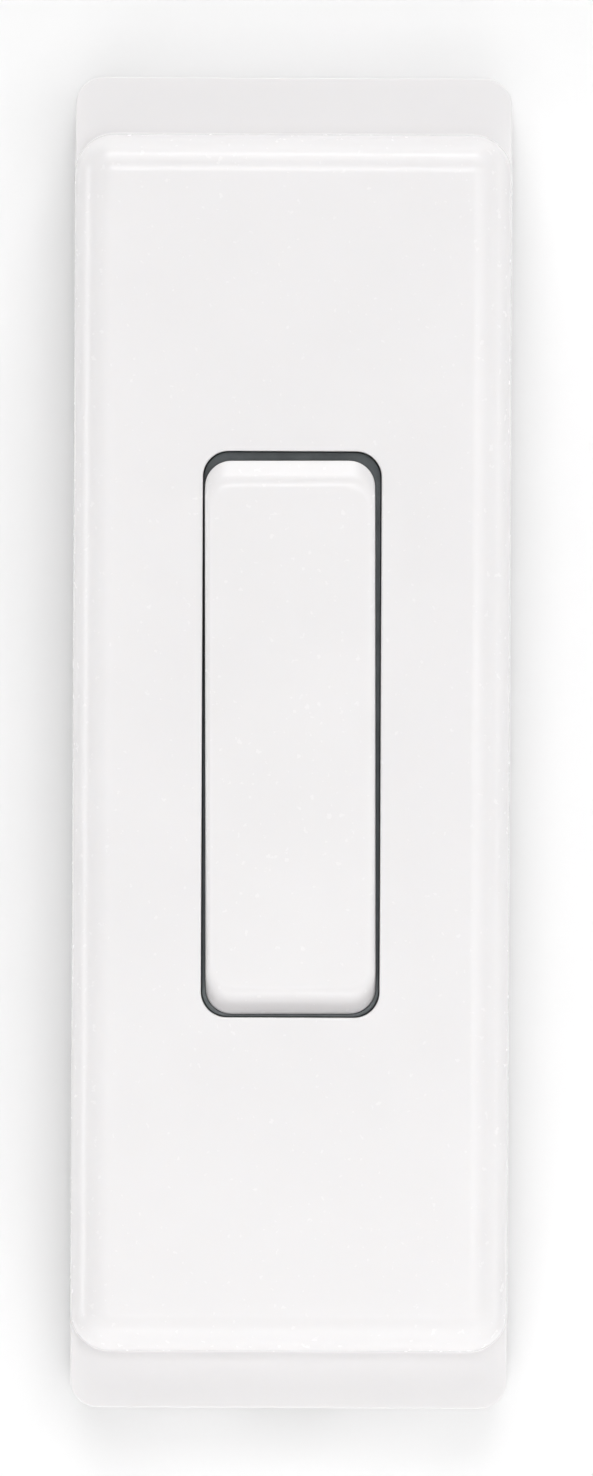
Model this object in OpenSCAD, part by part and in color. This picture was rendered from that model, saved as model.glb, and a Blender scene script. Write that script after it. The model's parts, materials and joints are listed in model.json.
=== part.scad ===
// Wireless bell push: a long, narrow wall housing with one hinged key, a coin cell and a transmitter board.
// Every sub-part is drawn in wall coordinates (x across, y up the wall, z out of the wall) and is then stood
// up by on_wall(), so that +Z is up, the front faces -Y and the wall is the plane Y = 0.

/* [Housing] */
// Width of the housing
housing_w = 28.2; // [28:0.2:31]
// Height of the housing
housing_h = 86; // [85:1:92]
// Distance from the wall to the front face
housing_d = 16; // [16:0.5:18]
// Thickness of the skirt that surrounds the back plate
skirt_t = 1.6; // [1.4:0.1:1.8]
// Thickness of the front face
face_t = 1.8; // [1.4:0.1:1.8]
// Radius of the base's corners, seen from the front
base_corner_r = 1.8; // [1:0.1:2.5]
// Radius of the raised body's front edges and corners
edge_r = 2.6; // [2:0.1:2.8]
// Length of the low step at each end
step_len = 3.75; // [3:0.25:4.5]
// Distance from the wall to the step, beside the raised body
step_d = 12; // [11.5:0.25:12.5]
// Fall of the step towards its outer edge
step_fall = 0.6; // [0:0.1:0.8]

/* [Key] */
// Width of the key
key_w = 10.95; // [10:0.05:10.95]
// Height of the key
key_h = 35.6; // [34:0.1:35.7]
// Radius of the key's corners, seen from the front
key_corner_r = 1.7; // [1:0.1:2]
// Length of the chamfer at the key's upper end
key_top_chamfer = 1.3; // [0.8:0.1:1.4]
// Angle of the upper chamfer from the key's face, in degrees
key_top_angle = 32; // [25:1:45]
// Length of the chamfer at the key's lower end
key_foot_chamfer = 1.5; // [0.8:0.1:1.6]
// Angle of the lower chamfer from the key's face, in degrees
key_foot_angle = 42; // [30:1:45]
// Radius along the key's long edges
key_side_r = 0.4; // [0.2:0.1:0.8]
// Height of the key's centre above the housing's centre
key_up = 0.34; // [0.34:0.02:0.42]
// How far the key's hinged lower end is sunk below the front face
key_sink = 0.1; // [0:0.05:0.6]
// How much further out its free upper end is
key_rise = 0.8; // [0.4:0.05:1.3]
// Lean of the key in its window, in degrees
key_lean = 0.3; // [0:0.1:0.3]
// Sideways play of the key in its window
key_play = 0.06; // [0:0.02:0.06]
// Width of the window
window_w = 11.5; // [11.5:0.1:12]
// Height of the window
window_h = 36.45; // [36.4:0.05:36.8]
// Radius of the window's corners
window_corner_r = 1.65; // [1:0.05:2]
// Height of the window's centre above the housing's centre
window_up = 0.55; // [0.5:0.05:0.55]

/* [Hinge and switch] */
// Distance of the hinge axis below the housing's centre
hinge_drop = 19.4; // [19.4:0.1:20]
// Radius of the hinge pins
hinge_pin_r = 0.8; // [0.7:0.05:0.8]
// Radial clearance of the pins in their saddles
hinge_clearance = 0.05; // [0.03:0.01:0.1]
// Distance from the hinge axis to the switch
switch_arm = 20; // [18:0.5:22]
// Width and height of the tactile switch
switch_w = 6; // [5.6:0.2:6.2]
// Radius of the switch's plunger
plunger_r = 1.75; // [1.5:0.05:1.75]
// Radial clearance of the plunger in the switch's frame
plunger_clearance = 0.08; // [0.05:0.01:0.1]

/* [Board] */
// Width of the circuit board
board_w = 23.2; // [23:0.1:23.4]
// Height of the circuit board
board_h = 62; // [61:0.5:64]
// Thickness of the circuit board
board_t = 1; // [0.8:0.1:1]
// Distance from the wall to the board's back
board_back = 6.4; // [6.4:0.05:6.5]
// Distance of the fixing screws from the centre line
boss_x = 9; // [8.8:0.1:9.2]
// Distance of the fixing screws above and below the centre
boss_up = 27; // [26.5:0.1:27.5]

/* [Battery] */
// Diameter of the coin cell
cell_dia = 20; // [19.8:0.1:20]
// Thickness of the coin cell
cell_t = 3.2; // [3:0.1:3.2]
// Height of the cell's centre above the housing's centre
cell_up = -8; // [-9:0.5:-7]

/* [Wall plate] */
// Thickness of the back plate
plate_t = 1.8; // [1.5:0.1:1.8]
// Gap between the plate and the skirt
plate_gap = 0.2; // [0.15:0.05:0.3]
// Distance between the two wall-screw holes
screw_spacing = 64; // [62:1:66]
// Radius of the wall-screw holes
screw_hole_r = 2; // [1.6:0.1:2.1]

/* [Hidden] */
$fn = 96;
eps = 0.01;         // how far a cut runs past a face
through = 1;        // how far a cut runs clear of a body
wall_inset = 0.25;  // gap between the skirt's rim and the wall

// Housing: outer heights, then the hollow inside
raised_h = housing_h - 2 * step_len;
ledge_d = 2.7;                       // where the skirt thickens into the side wall
side_t = skirt_t + 0.5;
hollow_w = housing_w - 2 * side_t;
hollow_h = housing_h - 2 * side_t;
hollow_corner_r = 1.2;
raised_hollow_h = raised_h - 2 * side_t;
step_ceiling = step_d - 1.8;         // under side of the step
face_back = housing_d - face_t;      // inner side of the front face
pry_notch = [6, plate_t - 0.3];      // width and depth of the notch that takes a screwdriver

// Key: a cap standing on a flange that stays behind the front face
flange_t = 0.8;
flange_front = face_back - 0.6;
flange_back = flange_front - flange_t;
flange_lip = 1;                      // how far the flange runs under the front face
flange_w = window_w + 2 * flange_lip;
flange_top = window_up + window_h / 2 + flange_lip;
gasket_t = 0.4;
gasket_inset = 0.1;                  // how far the gasket's edge stays inside the flange's
gasket_end = 0.6;                    // how far the gasket runs past the window's ends
collar_front = housing_d - 1.1;      // front of the gasket's collar, which fills the gap around the cap
collar_gap = 0.06;                   // between the collar and the window's wall
collar_fit = 0.02;                   // between the collar and the cap
cap_root = flange_back - 0.6;        // back of the cap's walls, at the hinged end
cap_wall = 1.3;
cap_end_wall = 2.3;
cap_tilt = atan(key_rise / key_h);
cap_roof = housing_d - key_sink - cap_wall;  // under side of the cap's front
hinge_up = -hinge_drop;
hinge_d = (flange_front + flange_back) / 2;
pin_end = 8.4;
saddle_x = [7.2, 8.8];
saddle_half = 1.5;
saddle_mouth = 1.3;                  // the mouth is narrower than the pin, so the pin snaps in
saddle_cut = 2;

// Board, bosses and switch
board_front = board_back + board_t;
board_corner_r = 1;
boss_r = 2.2;
pilot_r = 0.85;
shank_r = 0.8;
shank_len = 4.5;
pilot_len = shank_len + 0.5;
board_hole_r = 1.1;
head_r = 1.9;
head_t = 1.2;
recess = [2.2, 0.5, head_t / 2];     // length, width and depth of the screw heads' cross
switch_up = hinge_up + switch_arm;
switch_t = 3.3;
switch_top = board_front + switch_t;
switch_corner_r = 0.4;
frame_t = 0.2;
frame_ear_w = 2.4;
pin_row = 2.25;                      // distance of the switch's pins from its centre
pin_foot = [1.3, 0.7, 0.25];         // length, width and thickness of a pin's foot
pin_rise = 0.9;
plunger_tip = board_front + 5;
pusher_gap = 0.1;                    // between the key's pusher and the plunger
pusher_r = 1.2;
pusher_rib = [3.6, 0.8];
plunger_flange_r = 2.3;
plunger_flange = [0.8, 0.1];         // how far its flange's two faces lie under the frame
switch_well_r = 2.5;
switch_floor = 1;
dome_r = 3.3;
dome_t = 0.1;
dome_sink = 2.4;                     // depth of the dome's centre under the well's floor
dome_edge_r = 2.35;

// Battery: the cell's can faces the wall, its cap faces the board
holder_floor = 0.8;
cell_front = board_back - holder_floor;
cell_back = cell_front - cell_t;
cell_r = cell_dia / 2;
cap_r = cell_r - 1.2;
seal_r = cell_r - 0.6;
crimp_d = cell_front - 1;            // depth of the groove that holds the cell's seal
can_front = cell_front - 0.4;
seal_front = cell_front - 0.3;
cap_bevel = 0.25;
holder_gap = 0.15;
holder_wall = 0.75;
holder_r = cell_r + holder_gap + holder_wall;
holder_back = cell_back + 0.6;
holder_hole_r = 4.6;
finger_notch = [9, 8];
contact_t = 0.3;
strap_w = 5;
spring_r = 4;                        // radius of the negative contact's dome
spring_edge_r = 3;
spring_base_r = 4.2;

// Parts on the front of the board
chip_w = 3.9;
chip_h = 8.7;
chip_up = -11;
chip_d = [board_front + 0.15, board_front + 1.65];
chip_dimple = [0.4, 0.15];           // radius and depth of the dimple that marks its first lead
lead_pitch = 1.27;
lead_w = 0.4;
lead_t = 0.2;
lead_rise = 0.9;
lead_foot = 0.5;
leads_a_side = 7;
transistor_at = [-7.5, 8];
transistor = [1.4, 2.9];
transistor_d = [board_front + 0.1, board_front + 1.1];
transistor_leads_at = [[-1, -0.95], [-1, 0.95], [1, 0]];
resonator_at = [7.4, 8.5];
resonator_r = 2.2;
resonator_rim_r = 2.6;
resonator_rim_t = 0.4;
resonator_t = 2.4;
coil_at = [-7.5, 14];
coil_r = 1.9;
coil_waist_r = 0.9;
coil_wire_r = 1.6;
coil_flange_t = 0.5;
coil_t = 2.4;
loop_w = 11.4;
loop_h = 16;
loop_up = 22;
loop_track = 1.1;
loop_corner_r = 1.2;
loop_break = 2;
copper_t = 0.1;
capacitor_up = -25;
capacitor_r = 2;
capacitor_top = board_front + 5.2;
capacitor_base_t = 0.6;
capacitor_base_w = 4.3;
capacitor_base_r = 0.8;
capacitor_neck = [board_front + 1.4, board_front + 1.7];
capacitor_neck_r = 1.85;
chip_part = [1.6, 0.8];              // length and width of the smallest parts
terminal_len = 0.3;
ceramic_t = 0.8;
resistor_t = 0.5;
ceramic_places = [[7.4, 2.5], [7.4, -16], [-7.4, -9], [7.4, 14]];
resistor_places = [[-7.4, -13], [-7.4, -17], [7.4, -9], [7.4, -12.5], [-7.4, 3]];

// Header on the back of the board, whose pins set the code
header_pitch = 2.54;
header_up = 20;
header_base_t = 1.6;
pin_w = 0.64;
pin_back = cell_back + 0.3;
jumper = [2.3, 4.9];
jumper_gap = 0.02;
joint_r = 0.8;
joint_sink = 0.3;

// Wall plate
plate_w = housing_w - 2 * (skirt_t + plate_gap);
plate_h = housing_h - 2 * (skirt_t + plate_gap);
plate_corner_r = 1.2;
pad_r = 4.5;
pad_d = plate_t + 0.8;
sink_r = 3.6;
sink_d = 1.4;
seal_w = 0.9;
seal_play = 0.1;
tongue_w = 8;
tongue_t = 1.2;
tongue_d = 6.4;
nose_d = 1.2;
nose_reach = 1.55;
tongue_up = housing_h / 2 - 4.4;
pocket_reach = 0.7;
pocket_d = [tongue_d - nose_d - 0.2, tongue_d + 0.4];
pocket_w = tongue_w + 1;

// Stands a shape drawn in wall coordinates up against the wall
module on_wall() {
  rotate([90, 0, 0]) children();
}

// Rectangle with round corners, centred
module rounded_rect(w, h, r) {
  square([w - 2 * r, h], center = true);
  square([w, h - 2 * r], center = true);
  for (x = [-1, 1], y = [-1, 1]) translate([x * (w / 2 - r), y * (h / 2 - r)]) circle(r);
}

// Block with round plan corners, from one distance out of the wall to another
module slab(w, h, r, from, to) {
  translate([0, 0, from]) linear_extrude(to - from) rounded_rect(w, h, r);
}

// Square-cornered block, centred on x and y, from one distance out of the wall to another
module block(w, h, from, to) {
  translate([-w / 2, -h / 2, from]) cube([w, h, to - from]);
}

// Round post from one distance out of the wall to another
module post(r, from, to) {
  translate([0, 0, from]) cylinder(r = r, h = to - from);
}

// Outline, seen from the side, of a block whose front edges are rounded
module round_front(len, from, to, r) {
  translate([-len / 2, from]) square([len, to - r - from]);
  translate([r - len / 2, from]) square([len - 2 * r, to - from]);
  for (s = [-1, 1]) translate([s * (len / 2 - r), to - r]) circle(r);
}

// Block with round plan corners and rounded front edges
module eased_block(w, h, from, to, corner_r, edge_r) {
  intersection() {
    slab(w, h, corner_r, from, to);
    rotate([90, 0, 0]) linear_extrude(h, center = true) round_front(w, from, to, edge_r);
    rotate([90, 0, 90]) linear_extrude(w, center = true) round_front(h, from, to, edge_r);
  }
}

// Length along the face and depth of a chamfer at an angle from the face
function chamfer(run, angle) = [run, run * tan(angle)];

// Block with round plan corners, rounded long front edges and a chamfer at its top and its foot
module chamfered_block(w, h, from, to, corner_r, side_r, top, foot) {
  intersection() {
    slab(w, h, corner_r, from, to);
    rotate([90, 0, 0]) linear_extrude(h, center = true) round_front(w, from, to, side_r);
    rotate([90, 0, 90]) linear_extrude(w, center = true) polygon([
      [-h / 2, from], [h / 2, from], [h / 2, to - top[1]],
      [h / 2 - top[0], to], [foot[0] - h / 2, to], [-h / 2, to - foot[1]]
    ]);
  }
}

// Copies to the top and the bottom end
module each_end() {
  for (s = [0, 1]) mirror([0, s, 0]) children();
}

// Copies to the left and the right
module each_side() {
  for (s = [0, 1]) mirror([s, 0, 0]) children();
}

// Copies to the board's four fixing points
module each_boss() {
  for (x = [-1, 1], y = [-1, 1]) translate([x * boss_x, y * boss_up, 0]) children();
}

module back_plate() {
  color("gainsboro") on_wall() difference() {
    union() {
      slab(plate_w, plate_h, plate_corner_r, 0, plate_t);
      each_end() translate([0, screw_spacing / 2, 0]) post(pad_r, 0, pad_d);
    }
    each_end() translate([0, screw_spacing / 2, 0]) {
      post(screw_hole_r, -eps, pad_d + eps);
      translate([0, 0, pad_d - sink_d]) cylinder(r1 = screw_hole_r, r2 = sink_r, h = sink_d + eps);
    }
  }
}

// Two sprung tongues whose noses hook into the cover's end walls
module snap_tongues() {
  color("gainsboro") on_wall() each_end() {
    rotate([90, 0, 90]) linear_extrude(tongue_w, center = true) polygon([
      [tongue_up - tongue_t, plate_t], [tongue_up, plate_t],
      [tongue_up, tongue_d - nose_d], [tongue_up + nose_reach, tongue_d - nose_d],
      [tongue_up + nose_reach, tongue_d - nose_d / 2], [tongue_up, tongue_d + nose_d / 2],
      [tongue_up - tongue_t, tongue_d + nose_d / 2]
    ]);
  }
}

module rim_seal() {
  color("dimgray") on_wall() difference() {
    slab(plate_w, plate_h, plate_corner_r, plate_t, ledge_d - seal_play);
    slab(plate_w - 2 * seal_w, plate_h - 2 * seal_w, plate_corner_r / 2, plate_t - eps, ledge_d);
  }
}

// Outside of the cover: a raised body on a base that shows as a low step at each end
module cover_outside() {
  intersection() {
    slab(housing_w, housing_h, base_corner_r, wall_inset, step_d);
    rotate([90, 0, 90]) linear_extrude(housing_w, center = true) polygon([
      [-housing_h / 2, wall_inset], [housing_h / 2, wall_inset],
      [housing_h / 2, step_d - step_fall], [raised_h / 2, step_d],
      [-raised_h / 2, step_d], [-housing_h / 2, step_d - step_fall]
    ]);
  }
  eased_block(housing_w, raised_h, step_ceiling, housing_d, edge_r, edge_r);
}

module cover_hollow() {
  slab(housing_w - 2 * skirt_t, housing_h - 2 * skirt_t, hollow_corner_r, 0, ledge_d);
  slab(hollow_w, hollow_h, hollow_corner_r, 0, step_ceiling);
  slab(hollow_w, raised_hollow_h, hollow_corner_r, 0, face_back);
}

module hinge_saddles() {
  each_side() translate([saddle_x[0], hinge_up, 0]) difference() {
    translate([0, -saddle_half, hinge_d - saddle_half])
      cube([saddle_x[1] - saddle_x[0], 2 * saddle_half, face_back + eps - hinge_d + saddle_half]);
    translate([-eps, 0, hinge_d]) rotate([0, 90, 0])
      cylinder(r = hinge_pin_r + hinge_clearance, h = saddle_cut);
    translate([-eps, -saddle_mouth / 2, hinge_d - saddle_cut])
      cube([saddle_cut, saddle_mouth, saddle_cut]);
  }
}

module front_cover() {
  color("white") on_wall() difference() {
    union() {
      difference() {
        cover_outside();
        cover_hollow();
        translate([0, window_up, 0])
          slab(window_w, window_h, window_corner_r, face_back - through, housing_d + through);
        each_end() block(pocket_w, hollow_h + 2 * pocket_reach, pocket_d[0], pocket_d[1]);
      }
      each_boss() post(boss_r, board_front, face_back + eps);
      hinge_saddles();
    }
    each_boss() post(pilot_r, board_front - eps, board_front + pilot_len);
    translate([0, -housing_h / 2, 0]) block(pry_notch[0], 2 * skirt_t + through, 0, pry_notch[1]);
  }
}

// The cap leans and shifts a little in its window, as a loosely hinged key does; its pins don't
module at_cap() {
  translate([-key_play, key_up, 0]) rotate([0, 0, key_lean]) children();
}

module key_cap() {
  top = chamfer(key_top_chamfer, key_top_angle);
  foot = chamfer(key_foot_chamfer, key_foot_angle);
  at_cap() translate([0, -key_h / 2, housing_d]) rotate([cap_tilt, 0, 0])
    translate([0, key_h / 2, -housing_d])
      chamfered_block(key_w, key_h, cap_root, housing_d - key_sink, key_corner_r, key_side_r, top, foot);
}

module button_key() {
  color("white") on_wall() {
    difference() {
      union() {
        key_cap();
        translate([0, (flange_top + hinge_up) / 2, 0])
          slab(flange_w, flange_top - hinge_up, hinge_pin_r, flange_back, flange_front);
      }
      translate([0, key_up, 0])
        slab(key_w - 2 * cap_wall, key_h - 2 * cap_end_wall, key_corner_r, cap_root - through, cap_roof);
    }
    translate([0, switch_up, 0]) post(pusher_r, plunger_tip + pusher_gap, cap_roof + eps);
    each_side() translate([2 * pusher_r, switch_up, 0])
      block(pusher_rib[0], pusher_rib[1], flange_back + flange_t / 2, cap_roof + eps);
    translate([-pin_end, hinge_up, hinge_d]) rotate([0, 90, 0]) cylinder(r = hinge_pin_r, h = 2 * pin_end);
  }
}

// Soft ring on the key's flange, whose collar shows as the dark gap around the cap
module key_gasket() {
  color("dimgray") on_wall() difference() {
    translate([0, window_up, 0]) {
      slab(flange_w - 2 * gasket_inset, window_h + 2 * gasket_end, window_corner_r,
        flange_front, flange_front + gasket_t);
      slab(window_w - 2 * collar_gap, window_h - 2 * collar_gap, window_corner_r,
        flange_front, collar_front);
    }
    key_cap();
    at_cap() slab(key_w + 2 * collar_fit, key_h + 2 * collar_fit, key_corner_r,
      flange_front - through, collar_front + through);
  }
}

module circuit_board() {
  color("seagreen") on_wall() difference() {
    slab(board_w, board_h, board_corner_r, board_back, board_front);
    each_boss() post(board_hole_r, board_back - eps, board_front + eps);
  }
}

module board_screws() {
  color("silver") on_wall() each_boss() difference() {
    union() {
      post(head_r, board_back - head_t, board_back);
      post(shank_r, board_back - eps, board_front + shank_len);
    }
    for (a = [0, 90]) rotate([0, 0, a])
      block(recess[0], recess[1], board_back - head_t - eps, board_back - head_t + recess[2]);
  }
}

module at_switch() {
  on_wall() translate([0, switch_up, 0]) children();
}

module switch_body() {
  color("black") at_switch() difference() {
    slab(switch_w, switch_w, switch_corner_r, board_front, switch_top);
    post(switch_well_r, board_front + switch_floor, switch_top + eps);
  }
}

module switch_frame() {
  color("silver") at_switch() {
    difference() {
      slab(switch_w, switch_w, switch_corner_r, switch_top, switch_top + frame_t);
      post(plunger_r + plunger_clearance, switch_top - eps, switch_top + frame_t + eps);
    }
    each_side() translate([(switch_w + frame_t) / 2, 0, 0])
      block(frame_t, frame_ear_w, board_front + switch_floor, switch_top + frame_t);
  }
}

module switch_pins() {
  color("silver") at_switch() each_side() for (y = [-1, 1]) translate([switch_w / 2, y * pin_row, 0]) {
    translate([pin_foot[0] / 2, 0, 0])
      block(pin_foot[0], pin_foot[1], board_front, board_front + pin_foot[2]);
    translate([pin_foot[2] / 2, 0, 0])
      block(pin_foot[2], pin_foot[1], board_front, board_front + pin_rise);
  }
}

// Shallow spring dome in the switch's well
module switch_dome() {
  color("silver") at_switch() translate([0, 0, board_front + switch_floor]) intersection() {
    difference() {
      translate([0, 0, -dome_sink]) sphere(dome_r);
      translate([0, 0, -dome_sink]) sphere(dome_r - dome_t);
    }
    post(dome_edge_r, 0, dome_r);
  }
}

module switch_plunger() {
  color("dimgray") at_switch() {
    post(plunger_flange_r, switch_top - plunger_flange[0], switch_top - plunger_flange[1]);
    post(plunger_r, switch_top - 2 * plunger_flange[1], plunger_tip);
  }
}

module at_cell() {
  on_wall() translate([0, cell_up, 0]) children();
}

module battery_holder() {
  color("black") at_cell() difference() {
    post(holder_r, holder_back, board_back);
    post(holder_r - holder_wall, cell_back, cell_front);
    post(holder_hole_r, cell_front - eps, board_back + eps);
    translate([0, holder_r, 0]) block(finger_notch[0], finger_notch[1], cell_back, cell_front);
  }
}

// Strap across the can, with a leg down to the board on each side
module battery_contact_positive() {
  color("silver") at_cell() {
    block(2 * (holder_r + contact_t), strap_w, cell_back - contact_t, cell_back);
    each_side() translate([holder_r + contact_t / 2, 0, 0])
      block(contact_t, strap_w, cell_back - contact_t, board_back);
  }
}

module battery_contact_negative() {
  color("silver") at_cell() {
    post(spring_base_r, board_back - contact_t, board_back);
    intersection() {
      translate([0, 0, cell_front + spring_r]) sphere(spring_r);
      post(spring_edge_r, cell_front, board_back - contact_t + eps);
    }
  }
}

module battery_can() {
  color("silver") at_cell() difference() {
    post(cell_r, cell_back, can_front);
    post(seal_r, crimp_d, cell_front);
  }
}

module battery_cap() {
  color("silver") at_cell() {
    post(cap_r, crimp_d, cell_front - cap_bevel);
    translate([0, 0, cell_front - cap_bevel]) cylinder(r1 = cap_r, r2 = cap_r - 0.4, h = cap_bevel);
  }
}

module battery_seal() {
  color("slategray") at_cell() difference() {
    post(seal_r, crimp_d, seal_front);
    post(cap_r, crimp_d - eps, cell_front);
  }
}

module at_chip() {
  on_wall() translate([0, chip_up, 0]) children();
}

module encoder_chip() {
  color("black") at_chip() difference() {
    block(chip_w, chip_h, chip_d[0], chip_d[1]);
    translate([0, chip_h / 2 - 1, 0]) post(chip_dimple[0], chip_d[1] - chip_dimple[1], chip_d[1] + eps);
  }
}

// Bent leads: a short shoulder out of the chip, a drop and a foot on the board
module chip_leads() {
  color("silver") at_chip() each_side() for (i = [0 : leads_a_side - 1])
    translate([chip_w / 2, (i - (leads_a_side - 1) / 2) * lead_pitch, 0]) {
      translate([lead_w / 2, 0, 0])
        block(lead_w, lead_w, board_front + lead_rise - lead_t, board_front + lead_rise);
      translate([lead_w + lead_t / 2, 0, 0]) block(lead_t, lead_w, board_front, board_front + lead_rise);
      translate([lead_w + lead_t + lead_foot / 2, 0, 0])
        block(lead_foot, lead_w, board_front, board_front + lead_t);
    }
}

module at_transistor() {
  on_wall() translate(transistor_at) children();
}

module rf_transistor() {
  color("black") at_transistor() block(transistor[0], transistor[1], transistor_d[0], transistor_d[1]);
}

module transistor_leads() {
  color("silver") at_transistor() for (p = transistor_leads_at) translate(p)
    block(lead_w + lead_t, lead_w, board_front, board_front + lead_t);
}

// Round metal can with a thin rim at its foot
module saw_resonator() {
  color("silver") on_wall() translate(resonator_at) {
    post(resonator_rim_r, board_front, board_front + resonator_rim_t);
    post(resonator_r, board_front, board_front + resonator_t);
  }
}

module at_coil() {
  on_wall() translate(coil_at) children();
}

// Drum core: two flanges on a thin waist
module coil_core() {
  color("dimgray") at_coil() {
    post(coil_r, board_front, board_front + coil_flange_t);
    post(coil_waist_r, board_front, board_front + coil_t);
    post(coil_r, board_front + coil_t - coil_flange_t, board_front + coil_t);
  }
}

module coil_winding() {
  color("peru") at_coil() difference() {
    post(coil_wire_r, board_front + coil_flange_t, board_front + coil_t - coil_flange_t);
    post(coil_waist_r, board_front, board_front + coil_t);
  }
}

// Printed aerial: an open rectangular loop of copper track
module antenna_loop() {
  color("peru") on_wall() translate([0, loop_up, 0]) difference() {
    slab(loop_w, loop_h, loop_corner_r, board_front, board_front + copper_t);
    slab(loop_w - 2 * loop_track, loop_h - 2 * loop_track, loop_corner_r / 2,
      board_front - eps, board_front + through);
    translate([0, -loop_h / 2, 0])
      block(loop_break, 2 * loop_track + through, board_front - eps, board_front + through);
  }
}

module at_capacitor() {
  on_wall() translate([0, capacitor_up, 0]) children();
}

// Can with a crimped neck
module smoothing_capacitor() {
  color("silver") at_capacitor() {
    post(capacitor_r, board_front + capacitor_base_t, capacitor_neck[0]);
    post(capacitor_neck_r, capacitor_neck[0] - eps, capacitor_neck[1] + eps);
    post(capacitor_r, capacitor_neck[1], capacitor_top);
  }
}

module capacitor_base() {
  color("black") at_capacitor()
    slab(capacitor_base_w, capacitor_base_w, capacitor_base_r, board_front, board_front + capacitor_base_t);
}

module at_places(places) {
  on_wall() for (p = places) translate(p) children();
}

module chip_part_body(t) {
  block(chip_part[0] - 2 * terminal_len, chip_part[1], board_front, board_front + t);
}

module chip_part_ends(t) {
  each_side() translate([(chip_part[0] - terminal_len) / 2, 0, 0])
    block(terminal_len, chip_part[1], board_front, board_front + t);
}

module ceramic_capacitors() {
  color("tan") at_places(ceramic_places) chip_part_body(ceramic_t);
}

module resistors() {
  color("black") at_places(resistor_places) chip_part_body(resistor_t);
}

// Tinned ends of the ceramic capacitors and resistors
module component_terminals() {
  color("silver") {
    at_places(ceramic_places) chip_part_ends(ceramic_t);
    at_places(resistor_places) chip_part_ends(resistor_t);
  }
}

module at_header() {
  on_wall() translate([0, header_up, 0]) children();
}

module each_pin() {
  for (x = [-1, 0, 1], y = [-0.5, 0.5]) translate([x * header_pitch, y * header_pitch, 0]) children();
}

module code_header() {
  color("black") at_header() difference() {
    block(3 * header_pitch, 2 * header_pitch, board_back - header_base_t, board_back);
    each_pin() block(pin_w, pin_w, board_back - header_base_t - through, board_back + eps);
  }
}

module header_pins() {
  color("goldenrod") at_header() each_pin() block(pin_w, pin_w, pin_back, board_back);
}

// Small sleeve that bridges two pins
module code_jumper() {
  color("royalblue") at_header() translate([header_pitch, 0, 0]) difference() {
    block(jumper[0], jumper[1], pin_back, board_back - header_base_t);
    for (y = [-0.5, 0.5]) translate([0, y * header_pitch, 0])
      block(pin_w + 2 * jumper_gap, pin_w + 2 * jumper_gap, pin_back - through, board_back);
  }
}

// Domes of solder where the header's pins come through to the front of the board
module solder_joints() {
  color("silver") at_header() each_pin() intersection() {
    translate([0, 0, board_front - joint_sink]) sphere(joint_r);
    post(joint_r, board_front, board_front + joint_r);
  }
}

back_plate();
snap_tongues();
rim_seal();
front_cover();
button_key();
key_gasket();
circuit_board();
board_screws();
switch_body();
switch_frame();
switch_pins();
switch_dome();
switch_plunger();
battery_holder();
battery_contact_positive();
battery_contact_negative();
battery_can();
battery_cap();
battery_seal();
encoder_chip();
chip_leads();
rf_transistor();
transistor_leads();
saw_resonator();
coil_core();
coil_winding();
antenna_loop();
smoothing_capacitor();
capacitor_base();
ceramic_capacitors();
resistors();
component_terminals();
code_header();
header_pins();
code_jumper();
solder_joints();
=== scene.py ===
"""Wireless bell push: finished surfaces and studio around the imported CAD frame.

Shapes are written in wall coordinates, in millimetres: x across, up the wall, and d out of the wall.
place() turns them into Blender's metres, where the front faces -Y and the wall is the plane Y = 0.
"""
import json
import math

import bmesh
import bpy
from mathutils import Matrix, Vector


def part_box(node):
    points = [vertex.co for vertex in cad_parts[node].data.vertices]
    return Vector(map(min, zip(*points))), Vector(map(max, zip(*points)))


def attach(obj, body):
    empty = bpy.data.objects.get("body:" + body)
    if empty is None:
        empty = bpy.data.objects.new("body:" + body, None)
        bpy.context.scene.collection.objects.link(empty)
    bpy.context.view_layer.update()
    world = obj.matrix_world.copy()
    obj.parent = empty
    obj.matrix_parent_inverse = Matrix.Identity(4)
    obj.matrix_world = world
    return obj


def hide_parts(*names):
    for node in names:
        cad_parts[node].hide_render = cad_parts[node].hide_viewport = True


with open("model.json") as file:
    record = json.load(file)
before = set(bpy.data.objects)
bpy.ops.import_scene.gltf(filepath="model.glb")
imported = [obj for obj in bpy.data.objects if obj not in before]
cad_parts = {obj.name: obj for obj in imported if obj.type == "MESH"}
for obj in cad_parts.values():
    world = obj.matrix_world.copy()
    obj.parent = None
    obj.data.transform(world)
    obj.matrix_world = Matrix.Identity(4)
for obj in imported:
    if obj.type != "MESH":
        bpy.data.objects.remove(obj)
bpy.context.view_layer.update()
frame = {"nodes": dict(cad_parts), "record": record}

MM = 0.001
SIDES = (-1, 1)


# ---------------------------------------------------------------- places taken from the frame

def extent(node):
    """A CAD node's box in wall coordinates: lowest and highest x, up and d, in millimetres."""
    lo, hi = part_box(node)
    return {
        "x": (lo.x / MM, hi.x / MM),
        "up": (lo.z / MM, hi.z / MM),
        "d": (-hi.y / MM, -lo.y / MM),
    }


COVER = extent("front_cover")
KEY = extent("button_key")
BOARD = extent("circuit_board")
PLATE = extent("back_plate")
SCREWS = extent("board_screws")
TONGUES = extent("snap_tongues")
PLUNGER = extent("switch_plunger")
CELL = extent("battery_can")

HALF_W = COVER["x"][1]
HALF_H = COVER["up"][1]
RIM_D = COVER["d"][0]
FACE_D = COVER["d"][1]
BOARD_FRONT = BOARD["d"][1]

# ---------------------------------------------------------------- sizes of the cover, in millimetres

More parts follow.
